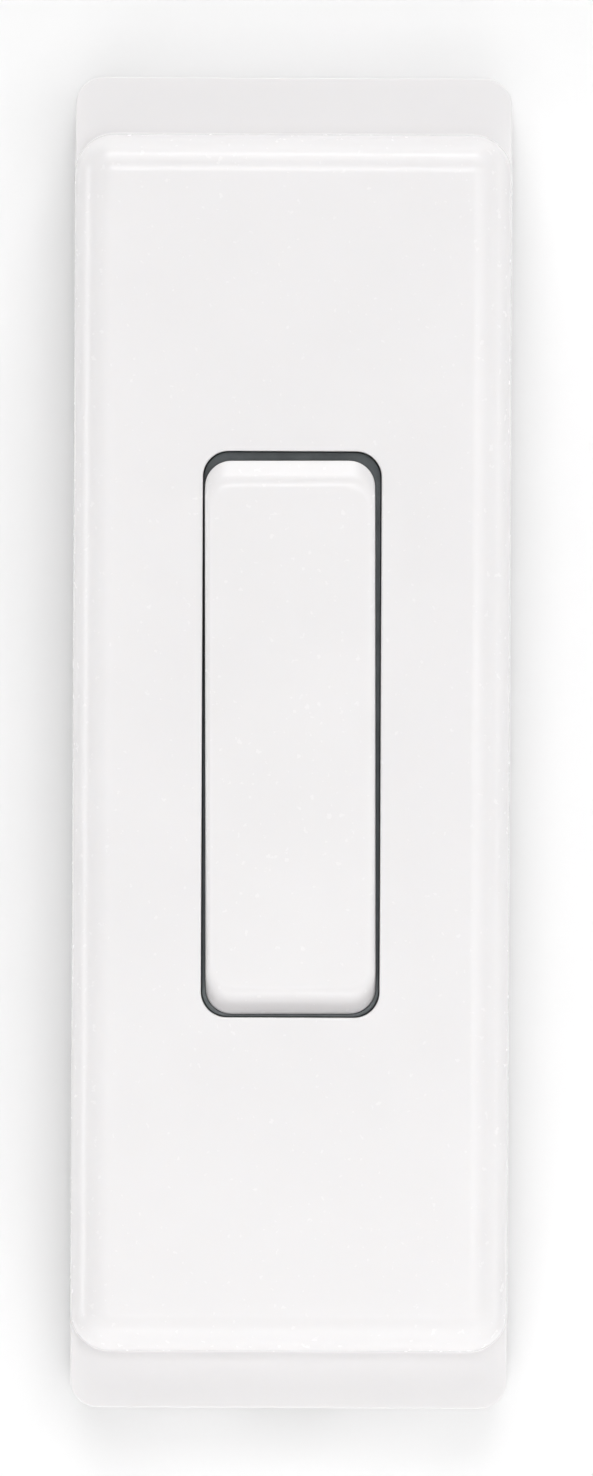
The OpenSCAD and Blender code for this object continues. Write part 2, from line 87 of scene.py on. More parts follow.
SKIRT_T = 1.6          # skirt around the wall plate
SIDE_T = 2.1           # side walls above the ledge
FACE_T = 1.8           # front face
LEDGE_D = 2.7          # where the skirt thickens into the side walls
BASE_CORNER = 1.8      # base's corners, seen from the front
INNER_CORNER = 1.2     # corners of the hollows
EDGE_R = 2.6           # raised body's rounded edges and corners
STEP_LEN = 3.75        # low step at each end
STEP_D = 12.0          # step beside the raised body
STEP_FALL = 0.6        # fall of the step towards its outer edge
BRIM_R = 0.12          # small rounding on the step's outer edge
FOOT_R = 0.25          # hollow fillet between step and raised body
STEP_CEILING = 10.2    # under side of the step
RAISED_HALF = HALF_H - STEP_LEN
INNER_FACE = FACE_D - FACE_T

WINDOW = {"w": 11.5, "h": 36.45, "r": 1.65, "up": 0.55, "lip": 0.12}

HINGE_UP = -19.4       # axis of the key's hinge
HINGE_D = 13.2
PIN_R = 0.8
BORE_R = 0.85
BORE_END = 10          # how far to each side the bores and their mouths are cut
SADDLE_X = (7.2, 8.8)  # inner and outer face of the saddle on each side
SADDLE_HALF = 1.5
MOUTH_HALF = 0.65      # opening through which the pins are pressed into the bores
MOUTH_DEPTH = 2

BOSS_R = 2.2           # bosses that the board is screwed to, and their pilot holes
PILOT_R = 0.85
PILOT_DEPTH = 5
SCREW_HEAD_R = 1.9
BOSS_X = SCREWS["x"][1] - SCREW_HEAD_R
BOSS_UP = SCREWS["up"][1] - SCREW_HEAD_R
FIXINGS = [(sx * BOSS_X, su * BOSS_UP) for sx in SIDES for su in SIDES]

POCKET_HALF_W = 4.5    # pockets in the end walls, where the tongues catch
POCKET_DEPTH = 0.7
POCKET_D = (TONGUES["d"][1] - 2.0, TONGUES["d"][1] - 0.2)

NOTCH_HALF_W = 3       # notch in the lower rim, to lever the cover off
NOTCH_DEPTH = 2.1
NOTCH_D = 1.5

OVERLAP = 0.2          # how far a boss or saddle runs into the face
PAST = 1               # how far a cutter runs past the surface that it opens

# ---------------------------------------------------------------- sizes of the key, in millimetres

CAP = {"w": 10.95, "h": 35.6, "r": 1.7, "up": 0.34, "side_r": 0.4}
# Chamfers at the cap's ends: length, angle and the radius that blends them into the front face
CAP_ENDS = {"top": (1.3, math.radians(32), 1.8), "foot": (1.5, math.radians(36), 1.0)}
CAP_STEPS = 48         # outlines down the longer chamfer
CAP_SINK = 0.1         # lower end, below the front face
CAP_RISE = 0.8         # how much further out the free end stands
CAP_LEAN = math.radians(0.3)
CAP_PLAY = 0.06        # shift to the left in the window
CAP_WALL = 1.3         # cap's front and side walls
CAP_END_WALL = 2.3
CAP_INNER_CORNER = 1
CAP_ROOF = FACE_D - CAP_SINK - CAP_WALL
FLANGE_W = 13.6
FLANGE_D = (12.8, 13.6)
SHANK_D = FLANGE_D[0] - 0.6
PUSHER_R = 1.2         # pusher under the cap, above the switch's plunger
PUSHER_GAP = 0.1
PUSHER_OVERLAP = 0.1   # how far the pusher runs into the cap


# ---------------------------------------------------------------- mesh tools

def place(x, up, d):
    return Vector((x, -d, up)) * MM


def mesh_object(name, points, faces):
    mesh = bpy.data.meshes.new(name)
    mesh.from_pydata([p[:] for p in points], [], faces)
    cleaned = bmesh.new()
    cleaned.from_mesh(mesh)
    bmesh.ops.remove_doubles(cleaned, verts=cleaned.verts, dist=1e-8)
    bmesh.ops.dissolve_degenerate(cleaned, edges=cleaned.edges, dist=1e-8)
    bmesh.ops.recalc_face_normals(cleaned, faces=cleaned.faces)
    cleaned.to_mesh(mesh)
    cleaned.free()
    piece = bpy.data.objects.new(name, mesh)
    bpy.context.scene.collection.objects.link(piece)
    return piece


def arc(cx, cy, r, start, end, steps):
    """Points on an arc; angles in degrees."""
    angles = [math.radians(start + (end - start) * i / steps) for i in range(steps + 1)]
    return [(cx + r * math.cos(a), cy + r * math.sin(a)) for a in angles]


def round_rect(w, h, r, x=0.0, up=0.0, steps=10):
    """Outline of a rectangle with round corners, as (x, up) points running anticlockwise."""
    cx, cy = w / 2 - r, h / 2 - r
    corners = ((cx, cy, 0), (-cx, cy, 90), (-cx, -cy, 180), (cx, -cy, 270))
    return [(x + px, up + py) for ax, ay, a in corners for px, py in arc(ax, ay, r, a, a + 90, steps)]


def circle(r, x=0.0, up=0.0, steps=48):
    return arc(x, up, r, 0, 360, steps)[:-1]


def loft(name, rings):
    """Closed body through rings of places that all hold the same number of points."""
    n = len(rings[0])
    points = [p for ring in rings for p in ring]
    faces = [list(range(n)), list(range(len(points) - n, len(points)))]
    for k in range(len(rings) - 1):
        for i in range(n):
            j = (i + 1) % n
            faces.append([k * n + i, k * n + j, (k + 1) * n + j, (k + 1) * n + i])
    return mesh_object(name, points, faces)


def prism(name, outline, d0, d1):
    return loft(name, [[place(x, up, d) for x, up in outline] for d in (d0, d1)])


def block(name, x, up, d):
    """Square block from (low, high) pairs."""
    outline = [(x[0], up[0]), (x[1], up[0]), (x[1], up[1]), (x[0], up[1])]
    return prism(name, outline, *d)


def rod(name, r, x0, x1, up, d):
    """Round rod lying across the wall, along x."""
    section = circle(r, up, d)
    return loft(name, [[place(x, u, dd) for u, dd in section] for x in (x0, x1)])


def join(name, parts):
    """Several closed bodies that don't meet, as one object."""
    made = bmesh.new()
    for part in parts:
        made.from_mesh(part.data)
        bpy.data.objects.remove(part)
    mesh = bpy.data.meshes.new(name)
    made.to_mesh(mesh)
    made.free()
    whole = bpy.data.objects.new(name, mesh)
    bpy.context.scene.collection.objects.link(whole)
    return whole


def combine(piece, tool, how):
    """Exact union or difference of piece and tool, kept in piece."""
    step = piece.modifiers.new("combine", "BOOLEAN")
    step.operation = how
    step.solver = "EXACT"
    step.object = tool
    graph = bpy.context.evaluated_depsgraph_get()
    mesh = bpy.data.meshes.new_from_object(piece.evaluated_get(graph))
    piece.modifiers.clear()
    piece.data = mesh
    bpy.data.objects.remove(tool)


def cut(piece, tool):
    combine(piece, tool, "DIFFERENCE")


def smooth(piece, sharp_above=32):
    """Smooth shading that breaks at sharp edges, with flat faces kept flat."""
    made = bmesh.new()
    made.from_mesh(piece.data)
    bmesh.ops.remove_doubles(made, verts=made.verts, dist=2e-7)
    limit = math.radians(sharp_above)
    for edge in made.edges:
        edge.smooth = len(edge.link_faces) == 2 and edge.calc_face_angle(0) < limit
    for face in made.faces:
        face.smooth = True
    made.to_mesh(piece.data)
    made.free()
    weigh = piece.modifiers.new("flat faces stay flat", "WEIGHTED_NORMAL")
    weigh.keep_sharp = True
    weigh.weight = 100


# ---------------------------------------------------------------- materials

class Shader:
    """A material's nodes, with short calls to make and link them."""

    def __init__(self, name):
        self.material = bpy.data.materials.new(name)
        self.material.use_nodes = True
        self.tree = self.material.node_tree
        self.surface = self.tree.nodes["Principled BSDF"]
        self.where = self.node("ShaderNodeTexCoord").outputs["Object"]

    def node(self, kind, **inputs):
        made = self.tree.nodes.new(kind)
        for name, value in inputs.items():
            self.put(made.inputs[name.replace("_", " ")], value)
        return made

    def put(self, socket, value):
        if isinstance(value, bpy.types.NodeSocket):
            self.tree.links.new(value, socket)
        else:
            socket.default_value = value

    def set(self, **inputs):
        for name, value in inputs.items():
            self.put(self.surface.inputs[name.replace("_", " ")], value)

    def mapped(self, **inputs):
        """The object's coordinates after a mapping; inputs are its Location, Rotation or Scale."""
        return self.node("ShaderNodeMapping", Vector=self.where, **inputs).outputs["Vector"]

    def noise(self, size_mm, detail=3.0, stretch=None):
        """Cloudy noise whose features are about size_mm across, as a value from 0 to 1."""
        vector = self.mapped(Scale=stretch) if stretch else self.where
        made = self.node("ShaderNodeTexNoise", Vector=vector, Scale=1 / (size_mm * MM), Detail=detail)
        return made.outputs["Fac"]

    def cells(self, size_mm):
        made = self.node("ShaderNodeTexVoronoi", Vector=self.where, Scale=1 / (size_mm * MM))
        return made.outputs["Distance"]

    def math(self, operation, *values):
        made = self.tree.nodes.new("ShaderNodeMath")
        made.operation = operation
        for socket, value in zip(made.inputs, values):
            self.put(socket, value)
        return made.outputs["Value"]

    def between(self, value, low, high, at=(0.3, 0.7)):
        """A value spread between low and high."""
        made = self.node("ShaderNodeMapRange", Value=value)
        for name, number in zip(("From Min", "From Max", "To Min", "To Max"), (*at, low, high)):
            made.inputs[name].default_value = number
        return made.outputs["Result"]

    def tint(self, value, dark, light, at=(0.3, 0.7)):
        """A colour between dark and light."""
        ramp = self.tree.nodes.new("ShaderNodeValToRGB")
        for element, position, colour in zip(ramp.color_ramp.elements, at, (dark, light)):
            element.position = position
            element.color = (*colour, 1)
        self.put(ramp.inputs["Fac"], value)
        return ramp.outputs["Color"]

    def bump(self, height, depth_mm, under=None):
        made = self.node("ShaderNodeBump", Height=height, Distance=depth_mm * MM, Strength=1.0)
        if under is not None:
            self.put(made.inputs["Normal"], under)
        return made.outputs["Normal"]


def shade(colour, factor):
    return tuple(min(1.0, c * factor) for c in colour)


def wave_scale(pitch_mm):
    """Scale of a wave texture for lines or rings about pitch_mm apart."""
    return 0.05 / (pitch_mm * MM)


def polish(s):
    """What both gloss plastics share: slight flow waviness, fine marks and a little depth."""
    waves = s.bump(s.noise(7, 1), 0.006)
    s.set(Normal=s.bump(s.noise(0.4, 2), 0.0003, waves), IOR=1.49)
    s.set(Subsurface_Weight=0.12, Subsurface_Radius=(1.0, 0.9, 0.8), Subsurface_Scale=0.6 * MM)


def gloss_plastic(name, colour, rough=0.24):
    """Polished moulded plastic with faint tone changes."""
    s = Shader(name)
    tone = s.tint(s.noise(9, 4), shade(colour, 0.985), shade(colour, 1.01))
    s.set(Base_Color=tone, Roughness=s.between(s.noise(0.5, 5), rough - 0.03, rough + 0.04))
    polish(s)
    return s.material


def housing_plastic(name, colour):
    """The same gloss on the raised body; on the low end steps a duller gloss and a painted shade that
    darkens the colour.
    """
    s = Shader(name)
    where = s.node("ShaderNodeSeparateXYZ", Vector=s.where).outputs
    near_end = ((RAISED_HALF - EDGE_R) * MM, (RAISED_HALF - 0.3 * EDGE_R) * MM)
    low = (-(STEP_D + 0.5) * MM, -(STEP_D + 0.1) * MM)
    # Mask of the low end steps: it raises the roughness there and darkens the colour there as painted shade.
    step_dullness_and_painted_shade = s.math("MULTIPLY", s.between(s.math("ABSOLUTE", where["Z"]), 0.0, 1.0, near_end),
                     s.between(where["Y"], 0.0, 1.0, low))
    clouds = s.between(s.noise(9, 4), 0.82, 1.0)
    # Random clouds in the tone, times a painted shade that darkens the colour on the low end steps.
    tone = s.math("MULTIPLY", clouds, s.between(step_dullness_and_painted_shade, 1.0, 0.7, (0, 1)))
    marks = s.between(s.noise(0.5, 5), 0.0, 0.07)
    s.set(Base_Color=s.tint(tone, shade(colour, 0.89), shade(colour, 1.01), (0, 1)))
    s.set(Roughness=s.math("ADD", marks, s.between(step_dullness_and_painted_shade, 0.21, 0.38, (0, 1))))
    polish(s)
    return s.material


def textured_plastic(name, colour):
    """Moulded plastic with an even, fine grain from a spark-eroded tool."""
    s = Shader(name)
    tone = s.tint(s.noise(4, 4), shade(colour, 0.97), shade(colour, 1.02))
    s.set(Base_Color=tone, Roughness=s.between(s.noise(0.8, 4), 0.47, 0.63), IOR=1.5)
    s.set(Normal=s.bump(s.noise(0.12, 4), 0.012))
    return s.material


def silicone(name, colour):
    s = Shader(name)
    tone = s.tint(s.noise(1.5, 4), shade(colour, 0.85), shade(colour, 1.12))
    s.set(Base_Color=tone, Roughness=s.between(s.noise(0.3, 4), 0.55, 0.72), IOR=1.43)
    s.set(Normal=s.bump(s.noise(0.08, 3), 0.004))
    return s.material


def foam(name, colour):
    s = Shader(name)
    pores = s.cells(0.16)
    s.set(Base_Color=s.tint(pores, shade(colour, 0.5), shade(colour, 1.3), (0.0, 0.6)), Roughness=0.92)
    s.set(Normal=s.bump(pores, 0.05))
    return s.material


def metal(name, colour, rough=0.28):
    """Sheet or plated metal with fine drawn lines."""
    s = Shader(name)
    lines = s.noise(0.25, 5, (1, 1, 12))
    tone = s.tint(s.noise(1.2, 4), shade(colour, 0.88), shade(colour, 1.05))
    s.set(Base_Color=tone, Metallic=1.0, Roughness=s.between(lines, rough - 0.08, rough + 0.1))
    s.set(Normal=s.bump(lines, 0.0015))
    return s.material


def turned_metal(name, colour, rough=0.24):
    """The coin cell's metal, with the fine rings that turning or pressing leaves around its centre."""
    s = Shader(name)
    centre_up = sum(CELL["up"]) / 2
    vector = s.mapped(Location=(0, 0, -centre_up * MM))
    rings = s.node("ShaderNodeTexWave", Vector=vector, Scale=wave_scale(0.18), Distortion=0.4)
    rings.wave_type = "RINGS"
    rings.rings_direction = "Y"
    tone = s.tint(s.noise(2.5, 4), shade(colour, 0.9), shade(colour, 1.05))
    s.set(Base_Color=tone, Metallic=1.0, Roughness=s.between(s.noise(0.6, 4), rough - 0.06, rough + 0.1))
    s.set(Normal=s.bump(rings.outputs["Fac"], 0.0012))
    return s.material


def solder_mask(name, colour):
    """Board: tinted lacquer over a faint glass weave."""
    s = Shader(name)
    cloth = s.mapped(Rotation=(math.radians(90), 0, 0))
    weave = s.node("ShaderNodeTexBrick", Vector=cloth, Scale=1 / (0.9 * MM), Mortar_Size=0.03)
    weave.offset = 0.5
    tone = s.tint(s.noise(3, 4), shade(colour, 0.8), shade(colour, 1.2))
    s.set(Base_Color=tone, Roughness=s.between(s.noise(0.4, 4), 0.26, 0.4), IOR=1.52)
    s.set(Normal=s.bump(weave.outputs["Fac"], 0.003), Coat_Weight=0.4, Coat_Roughness=0.15)
    return s.material


def epoxy(name, colour):
    s = Shader(name)
    grains = s.noise(0.05, 3)
    s.set(Base_Color=s.tint(grains, shade(colour, 0.7), shade(colour, 1.8), (0.35, 0.75)))
    s.set(Roughness=s.between(s.noise(0.2, 4), 0.5, 0.68), Normal=s.bump(grains, 0.004))
    return s.material


def ceramic(name, colour):
    s = Shader(name)
    specks = s.noise(0.12, 4)
    s.set(Base_Color=s.tint(specks, shade(colour, 0.82), shade(colour, 1.15)), Roughness=0.38)
    s.set(Normal=s.bump(specks, 0.003))
    return s.material


def solder(name, colour):
    s = Shader(name)
    s.set(Base_Color=s.tint(s.noise(0.5, 3), shade(colour, 0.85), shade(colour, 1.1)), Metallic=1.0)
    s.set(Roughness=s.between(s.noise(0.15, 4), 0.14, 0.34), Normal=s.bump(s.noise(0.2, 2), 0.006))
    return s.material


def winding(name, colour):
    """Lacquered wire laid in close turns."""
    s = Shader(name)
    turns = s.node("ShaderNodeTexWave", Vector=s.where, Scale=wave_scale(0.16))
    turns.bands_direction = "Y"
    s.set(Base_Color=s.tint(s.noise(0.4, 3), shade(colour, 0.8), shade(colour, 1.1)), Metallic=1.0)
    s.set(Roughness=s.between(s.noise(0.2, 4), 0.22, 0.36), Normal=s.bump(turns.outputs["Fac"], 0.04))
    s.set(Coat_Weight=0.6, Coat_Roughness=0.1)
    return s.material


KINDS = {
    "housing_gloss": housing_plastic,
    "key_gloss": gloss_plastic,
    "jumper_plastic": gloss_plastic,
    "plate_moulding": textured_plastic,
    "switch_plastic": textured_plastic,
    "plunger_plastic": textured_plastic,
    "holder_plastic": textured_plastic,
    "cell_gasket": textured_plastic,
    "header_plastic": textured_plastic,
    "gap_silicone": silicone,
    "seal_foam": foam,
    "board_laminate": solder_mask,
    "screw_steel": metal,
    "stamped_steel": metal,
    "tinned_leads": solder,
    "solder": solder,
    "chip_epoxy": epoxy,
    "ferrite": epoxy,
    "ceramic_body": ceramic,
    "enamelled_copper": winding,
    "track_copper": metal,
    "gold_plate": metal,
    "can_plate": metal,
    "capacitor_can_skin": metal,
    "cell_steel": turned_metal,
}
SLOTS = {row["slot"]: row for row in frame["record"]["materials"]}
SLOT_OF = {row["node"]: row["material_slot"] for row in frame["record"]["subparts"]}
FINISH = {
    slot: kind(slot + "_finish", tuple(SLOTS[slot]["base_color"][:3]))
    for slot, kind in KINDS.items()
}


def dress(piece, slot):
    piece.data.materials.clear()
    piece.data.materials.append(FINISH[slot])


# ---------------------------------------------------------------- front cover

def bunched(half, radius, steps):
    """Positions from -half to half that crowd together towards both ends, for a round edge."""
    side = [half - radius + radius * math.sin(math.pi / 2 * i / steps) for i in range(steps + 1)]
    middle = [(half - radius) * k / 3 for k in (-2, -1, 0, 1, 2)]
    return [-x for x in reversed(side)] + middle + side


def inside_arc(x, half, r):
    """How far an outline with round corners of radius r reaches at x, short of its full length."""
    over = max(0.0, abs(x) - (half - r))
    return math.sqrt(max(0.0, r * r - over * over)) - r


def step_at(up):
    """The end step's depth out of the wall."""
    return STEP_D - STEP_FALL * (up - RAISED_HALF) / STEP_LEN


def cover_profile(x):
    """Upper half of the cover's outline at x, from the rim at the top end to the middle, as (up, d)."""
    end = HALF_H + inside_arc(x, HALF_W, BASE_CORNER)
    swell = EDGE_R + inside_arc(x, HALF_W, EDGE_R)
    bend = RAISED_HALF - EDGE_R
    foot = bend + swell
    side_drop = -inside_arc(x, HALF_W, BRIM_R)

    brim = arc(end - BRIM_R, step_at(end) - BRIM_R, BRIM_R, 0, 90, 6)
    hollow = arc(foot + FOOT_R, step_at(foot) + FOOT_R, FOOT_R, 270, 180, 8)
    points = [(end, RIM_D), (end, STEP_D * 0.5), (end, STEP_D * 0.85)]
    points += [(up, d - side_drop) for up, d in brim]
    points += [(up, d - side_drop * (1 - i / 8)) for i, (up, d) in enumerate(hollow)]
    points += arc(bend, FACE_D - EDGE_R, swell, 0, 90, 20)
    points += [(bend * k, FACE_D - EDGE_R + swell) for k in (0.75, 0.5, 0.25)]
    return points


def cover_outside():
    """The cover's outside and its rim, as one closed body."""
    columns = []
    for x in bunched(HALF_W, EDGE_R, 22):
        upper = cover_profile(x)
        lower = [(-up, d) for up, d in reversed(upper)]
        middle = [(0.0, upper[-1][1])]
        columns.append([place(x, up, d) for up, d in upper + middle + lower])
    rows = len(columns[0])
    points = [p for column in columns for p in column]
    faces = []
    for c in range(len(columns) - 1):
        for r in range(rows - 1):
            a = c * rows + r
            faces.append([a, a + 1, a + rows + 1, a + rows])
    last = (len(columns) - 1) * rows
    faces.append(list(range(rows)))
    faces.append(list(range(last, last + rows)))
    rim = [c * rows for c in range(len(columns))]
    rim += [c * rows + rows - 1 for c in reversed(range(len(columns)))]
    faces.append(rim)
    return mesh_object("front_cover_shell", points, faces)


def hollow_cutters():
    """The cover's hollow: the skirt, then the side walls, then the raised body up to its face."""
    levels = (
        ("skirt", HALF_W - SKIRT_T, HALF_H - SKIRT_T, LEDGE_D),
        ("hollow", HALF_W - SIDE_T, HALF_H - SIDE_T, STEP_CEILING),
        ("raised", HALF_W - SIDE_T, RAISED_HALF - SIDE_T, INNER_FACE),
    )
    return [prism(name, round_rect(2 * w, 2 * h, INNER_CORNER), -PAST, d) for name, w, h, d in levels]


def window_cutter():
    w, h, r, up, lip = (WINDOW[k] for k in ("w", "h", "r", "up", "lip"))
    rings = [(0.0, INNER_FACE - PAST), (0.0, FACE_D - lip)]
    rings += [(lip - px, FACE_D - lip + py) for px, py in arc(0, 0, lip, 0, 90, 4)[1:]]
    rings.append((lip, FACE_D + PAST))
    return loft("window", [
        [place(x, u, d) for x, u in round_rect(w + 2 * grow, h + 2 * grow, r + grow, 0, up, 16)]
        for grow, d in rings
    ])


def pocket_cutter():
    wall = HALF_H - SIDE_T
    return join("pockets", [
        block("pocket", (-POCKET_HALF_W, POCKET_HALF_W),
              sorted((s * (wall - PAST), s * (wall + POCKET_DEPTH))), POCKET_D)
        for s in SIDES
    ])


def bosses_and_saddles():
    root = INNER_FACE + OVERLAP
    bosses = [prism("boss", circle(BOSS_R, x, up), BOARD_FRONT, root) for x, up in FIXINGS]
    saddles = [
        block("saddle", sorted((s * SADDLE_X[0], s * SADDLE_X[1])),
              (HINGE_UP - SADDLE_HALF, HINGE_UP + SADDLE_HALF), (HINGE_D - SADDLE_HALF, root))
        for s in SIDES
    ]
    return join("bosses and saddles", bosses + saddles)


def pilot_cutter():
    return join("pilots", [
        prism("pilot", circle(PILOT_R, x, up), BOARD_FRONT - PAST, BOARD_FRONT + PILOT_DEPTH)
        for x, up in FIXINGS
    ])


def hinge_cutters():
    """The bores for the key's pins, and the mouths through which the pins are pressed in."""
    mouth = (HINGE_UP - MOUTH_HALF, HINGE_UP + MOUTH_HALF)
    return [
        rod("bores", BORE_R, -BORE_END, BORE_END, HINGE_UP, HINGE_D),
        block("mouth", (-BORE_END, BORE_END), mouth, (HINGE_D - MOUTH_DEPTH, HINGE_D)),
    ]


def notch_cutter():
    across = (-NOTCH_HALF_W, NOTCH_HALF_W)
    return block("notch", across, (-HALF_H - PAST, -HALF_H + NOTCH_DEPTH), (0, NOTCH_D))


def make_cover():
    cover = cover_outside()
    for tool in hollow_cutters():
        cut(cover, tool)
    cut(cover, window_cutter())
    cut(cover, pocket_cutter())
    combine(cover, bosses_and_saddles(), "UNION")
    cut(cover, pilot_cutter())
    for tool in hinge_cutters():
        cut(cover, tool)
    cut(cover, notch_cutter())
    cover.name = "front_cover_finished"
    smooth(cover)
    dress(cover, "housing_gloss")
    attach(cover, "housing")
    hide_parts("front_cover")


# ---------------------------------------------------------------- key

def cap_matrix():
    """The cap's slight lean, play and rise towards its free end."""
    low_end = place(0, -CAP["h"] / 2, FACE_D)
    tilt = Matrix.Rotation(math.atan(CAP_RISE / CAP["h"]), 4, "X")
    lean = Matrix.Rotation(-CAP_LEAN, 4, "Y")
    shift = Matrix.Translation(place(-CAP_PLAY, CAP["up"], 0))
    return shift @ lean @ Matrix.Translation(low_end) @ tilt @ Matrix.Translation(-low_end)


def chamfer_at(end, below):
    """How far the cap's outline is drawn in at one end, at a depth below its front face."""
    run, angle, blend_r = CAP_ENDS[end]
    if below > blend_r * (1 - math.cos(angle)):
        return max(0.0, run - below / math.tan(angle))
    turn = math.acos(1 - below / blend_r)
    return run + blend_r * (math.tan(angle / 2) - math.sin(turn))


def cap_rings():
    """Depth of each outline of the cap, and how far its sides, top and foot are drawn in."""
    run, angle, _ = CAP_ENDS["foot"]
    drop = run * math.tan(angle)
    rings = [(SHANK_D, 0.0, 0.0, 0.0)]
    for i in range(CAP_STEPS + 1):
        below = drop * (1 - i / CAP_STEPS) ** 2
        side = max(0.0, CAP["side_r"] - below)
        side_in = CAP["side_r"] - math.sqrt(CAP["side_r"] ** 2 - side ** 2)
        d = FACE_D - CAP_SINK - below
        rings.append((d, side_in, chamfer_at("top", below), chamfer_at("foot", below)))
    return rings


def key_cap():
    turn = cap_matrix()
    rings = []
    for d, side_in, top_in, foot_in in cap_rings():
        middle = (foot_in - top_in) / 2
        outline = round_rect(CAP["w"] - 2 * side_in, CAP["h"] - top_in - foot_in, CAP["r"], 0, middle, 14)
        rings.append([turn @ place(x, up, d) for x, up in outline])
    return loft("button_key_finished", rings)


def make_key():
    key = key_cap()
    top = KEY["up"][1]
    flange = round_rect(FLANGE_W, top - HINGE_UP, PIN_R, 0, (top + HINGE_UP) / 2)
    combine(key, prism("flange", flange, *FLANGE_D), "UNION")
    pocket = round_rect(CAP["w"] - 2 * CAP_WALL, CAP["h"] - 2 * CAP_END_WALL, CAP_INNER_CORNER, 0, CAP["up"])
    cut(key, prism("pocket", pocket, SHANK_D - PAST, CAP_ROOF))
    pusher = circle(PUSHER_R, 0, sum(PLUNGER["up"]) / 2)
    pusher_d = (PLUNGER["d"][1] + PUSHER_GAP, CAP_ROOF + PUSHER_OVERLAP)
    combine(key, prism("pusher", pusher, *pusher_d), "UNION")
    combine(key, rod("pins", PIN_R, KEY["x"][0], KEY["x"][1], HINGE_UP, HINGE_D), "UNION")
    smooth(key)
    dress(key, "key_gloss")
    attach(key, "key")
    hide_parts("button_key")


# ---------------------------------------------------------------- carried-over CAD nodes

# Width of the eased edges, in millimetres
EASED = {
    "back_plate": 0.15, "snap_tongues": 0.1, "rim_seal": 0.15, "key_gasket": 0.05, "circuit_board": 0.04,
    "board_screws": 0.06, "switch_body": 0.08, "switch_frame": 0.03, "switch_pins": 0.03,
    "switch_plunger": 0.08, "battery_holder": 0.12, "battery_contact_positive": 0.06,
    "battery_contact_negative": 0.04, "battery_can": 0.2, "battery_cap": 0.05, "encoder_chip": 0.06,
    "chip_leads": 0.03, "rf_transistor": 0.06, "saw_resonator": 0.12, "coil_core": 0.06,
    "smoothing_capacitor": 0.15, "capacitor_base": 0.06, "ceramic_capacitors": 0.05, "resistors": 0.04,
    "component_terminals": 0.04, "code_header": 0.08, "header_pins": 0.06, "code_jumper": 0.1,
}


def ease_edges(piece, width):
    weld = piece.modifiers.new("weld", "WELD")
    weld.merge_threshold = 1e-6
    ease = piece.modifiers.new("eased edges", "BEVEL")
    ease.width = width
    ease.segments = 3
    ease.angle_limit = math.radians(40)
    ease.use_clamp_overlap = True
    ease.harden_normals = True


def dress_nodes():
    for node, piece in frame["nodes"].items():
        dress(piece, SLOT_OF[node])
        if node in EASED:
            ease_edges(piece, EASED[node] * MM)


# ---------------------------------------------------------------- studio, in metres

WALL_Y = 0.0004                # just behind the wall plate
WALL_HALF_W = 0.6
WALL_TOP = 0.6
FLOOR_Z = -0.30
FLOOR_REACH = 1.2
WALL_OPENING = 0.96            # opening behind the wall plate, as a share of the plate's size
AIM = Vector((0, -0.008, 0))   # what the lamps face
AIR = 0.105                    # strength of the even light from all around

# Name, direction as (azimuth, elevation) in degrees, distance, width and height, and watts
LAMPS = (
    ("front_left_panel", (-16, 0), 1.2, (0.32, 0.5), 0.45),
    ("front_right_panel", (16, 0), 1.2, (0.32, 0.5), 1.26),
    ("front_upper_panel", (0, 16), 1.2, (0.5, 0.22), 2.08),
    ("front_lower_panel", (0, -12), 0.6, (0.25, 0.1), 0.25),
    ("right_panel", (32, 8), 1.2, (0.32, 0.6), 0.79),
    ("upper_panel", (0, 32), 1.2, (0.6, 0.32), 0.158),
    ("upper_strip", (0, 48), 0.8, (0.6, 0.2), 0.79),
    ("top_strip", (0, 60), 0.8, (0.6, 0.07), 1.5),
    ("top_edge_strip", (0, 80), 0.8, (0.6, 0.2), 0.93),
    ("upper_left_panel", (-45, 38), 0.9, (0.35, 0.35), 0.372),
    ("upper_right_panel", (45, 38), 0.9, (0.35, 0.35), 0.372),
    ("lower_left_panel", (-45, -35), 0.42, (0.16, 0.16), 0.037),
    ("lower_right_panel", (45, -35), 0.42, (0.16, 0.16), 0.037),
    ("left_edge_strip", (-85, 0), 0.8, (0.2, 0.6), 1.25),
    ("right_strip", (63, 0), 0.8, (0.09, 0.6), 0.242),
    ("right_edge_strip", (85, 0), 0.8, (0.2, 0.6), 0.744),
    ("lower_strip", (0, -48), 0.3, (0.3, 0.08), 0.019),
    ("bottom_strip", (0, -60), 0.3, (0.3, 0.03), 0.11),
    ("bottom_edge_strip", (0, -73), 0.28, (0.3, 0.05), 0.06),
    ("rear_panel", (150, 25), 0.8, (0.4, 0.4), 3.0),
)

CAMERA_DISTANCE = 0.9
FOCUS_OUT = 0.012              # the lens is set for this far out of the wall
FRAME_FILL = 0.902             # object's height as a share of the frame's
SENSOR = 36                    # millimetres
CAMERA_SHIFT = (0.00034, 0.00032)
CAMERA_ROLL = math.radians(-0.25)


def stage_material(name, colour):
    s = Shader(name)
    s.set(Base_Color=s.tint(s.noise(60, 3), shade(colour, 0.99), colour), Roughness=0.9)
    s.set(Specular_IOR_Level=0.1)
    return s


def one_sided(s):
    """Makes the material clear where its sheet is seen from behind."""
    side = s.node("ShaderNodeNewGeometry").outputs["Backfacing"]
    clear = s.node("ShaderNodeBsdfTransparent").outputs["BSDF"]
    mix = s.tree.nodes.new("ShaderNodeMixShader")
    for socket, value in zip(mix.inputs, (side, s.surface.outputs["BSDF"], clear)):
        s.put(socket, value)
    s.put(s.tree.nodes["Material Output"].inputs["Surface"], mix.outputs["Shader"])


